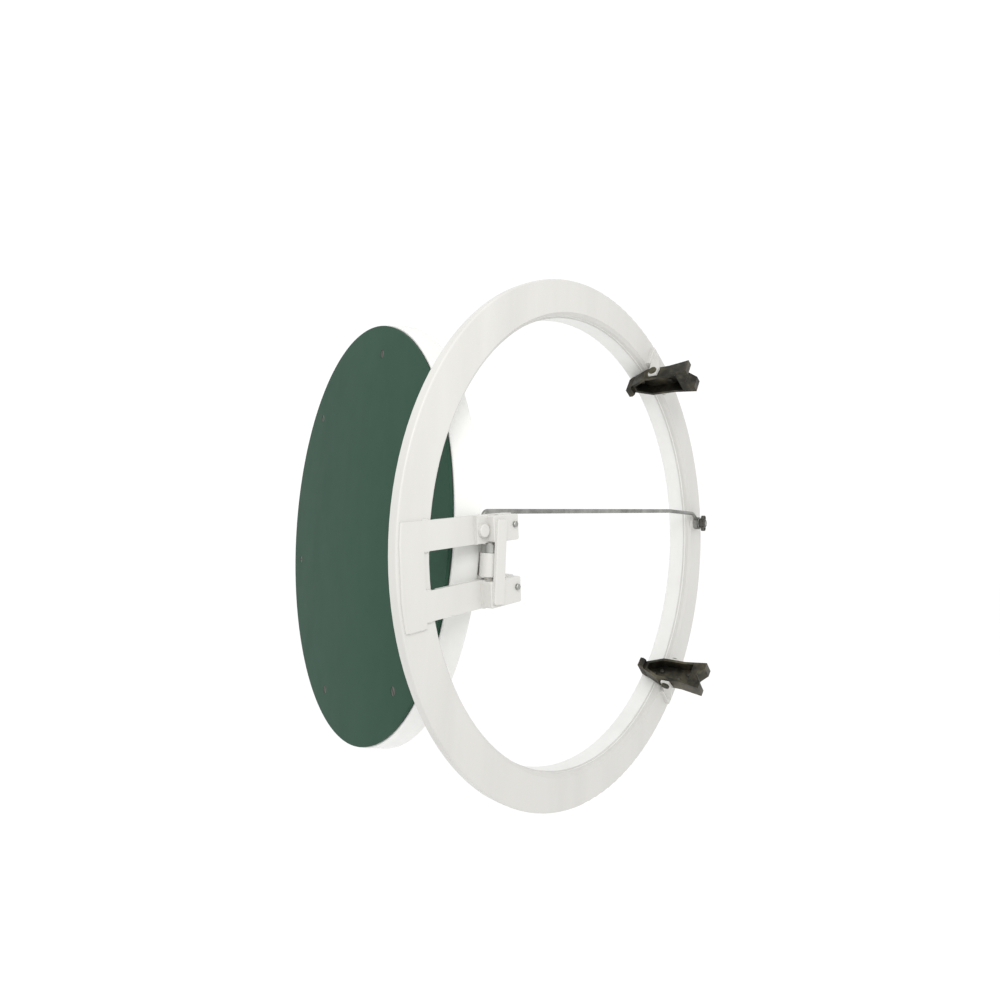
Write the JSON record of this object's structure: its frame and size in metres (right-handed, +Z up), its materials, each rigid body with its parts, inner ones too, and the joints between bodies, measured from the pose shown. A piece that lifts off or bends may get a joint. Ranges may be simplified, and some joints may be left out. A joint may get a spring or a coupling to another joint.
{
  "type": "deck hatch",
  "caption": "Round flush deck hatch: a flanged ring frame with a coaming, a thick disc lid on a link hinge, swing latch dogs and a hold-open stay rod.",
  "frame": {"origin": "centre of the ring on the back face of its flange, the face that seats on the deck or bulkhead", "axes": "+Y along the ring's axis through the deck towards the lid, +Z up, +X away from the hinge"},
  "size_m": [0.69, 0.6745, 0.69],
  "materials": {
    "white_paint": "satin enamel",
    "green_paint": "satin enamel",
    "dark_bronze": "dark oiled",
    "dark_knob": "semi gloss",
    "bronze_bush": "machined",
    "gasket_rubber": "matt",
    "seam_sealant": "matt",
    "primed_steel": "primer",
    "steel_hardware": "brushed"
  },
  "bodies": {
    "frame": {"coaming_tube": "white_paint", "dog_bracket_lower": "white_paint", "dog_bracket_upper": "white_paint", "dog_pad_lower": "white_paint", "dog_pad_upper": "white_paint", "dog_pin_lower": "dark_bronze", "dog_pin_upper": "dark_bronze", "fixed_hinge_pin": "steel_hardware", "flange_ring": "white_paint", "grease_plug": "white_paint", "hinge_arm_lower": "white_paint", "hinge_arm_upper": "white_paint", "hinge_base_plate": "white_paint", "pin_cap_bolts": "steel_hardware", "pin_cap_lower": "white_paint", "pin_cap_upper": "white_paint", "pin_clamp_bar": "white_paint", "stay_pad": "white_paint", "stay_stud": "steel_hardware", "stay_washer": "steel_hardware", "thrust_spacer": "steel_hardware"},
    "link": {"hinge_link": "white_paint", "link_bushes": "bronze_bush"},
    "lid": {"gasket_seat": "primed_steel", "keeper_lower": "white_paint", "keeper_upper": "white_paint", "lid_backing": "primed_steel", "lid_bracket_bolts": "steel_hardware", "lid_gasket": "gasket_rubber", "lid_hinge_bracket": "white_paint", "lid_hinge_pin": "steel_hardware", "lid_liner": "white_paint", "lid_panel": "green_paint", "lid_panel_screws": "steel_hardware", "lid_pin_collar": "steel_hardware", "lid_rim": "white_paint", "lid_seam_trim": "seam_sealant", "lid_stiffener": "primed_steel", "stay_eye": "white_paint"},
    "dog_upper": {"dog_claw_upper": "dark_bronze", "dog_lever_upper": "dark_bronze", "dog_screws_upper": "steel_hardware"},
    "dog_lower": {"dog_claw_lower": "dark_bronze", "dog_lever_lower": "dark_bronze", "dog_screws_lower": "steel_hardware"},
    "stay": {"stay_rod": "steel_hardware"},
    "knob": {"stay_knob": "dark_knob"}
  },
  "joints": [
    {"name": "link_swing", "type": "hinge", "parent": "frame", "child": "link", "pos_m": [-0.218, -0.017, -0.03], "axis": [0, 0, 1], "range_deg": [0, 92.37]},
    {"name": "lid_swing", "type": "hinge", "parent": "link", "child": "lid", "pos_m": [-0.19159, 0.03102, -0.03], "axis": [0, 0, 1], "range_deg": [-167.08, 0]},
    {"name": "dog_upper_swing", "type": "hinge", "parent": "frame", "child": "dog_upper", "pos_m": [0.14182, -0.026, 0.25066], "axis": [-0.8704, 0, 0.4924], "range_deg": [0, 14]},
    {"name": "dog_lower_swing", "type": "hinge", "parent": "frame", "child": "dog_lower", "pos_m": [0.20542, -0.026, -0.20186], "axis": [0.7009, 0, 0.7133], "range_deg": [0, 14]},
    {"name": "stay_swing", "type": "hinge", "parent": "frame", "child": "stay", "pos_m": [0.309, -0.02, 0.039], "axis": [0, 1, 0], "range_deg": [-1.2, 24]},
    {"name": "knob_turn", "type": "hinge", "parent": "frame", "child": "knob", "pos_m": [0.309, -0.03, 0.039], "axis": [0, -1, 0], "range_deg": [0, 270]}
  ],
  "couplings": [
    {"joint": "lid_swing", "follows": "link_swing", "ratio": -1.8087}
  ]
}
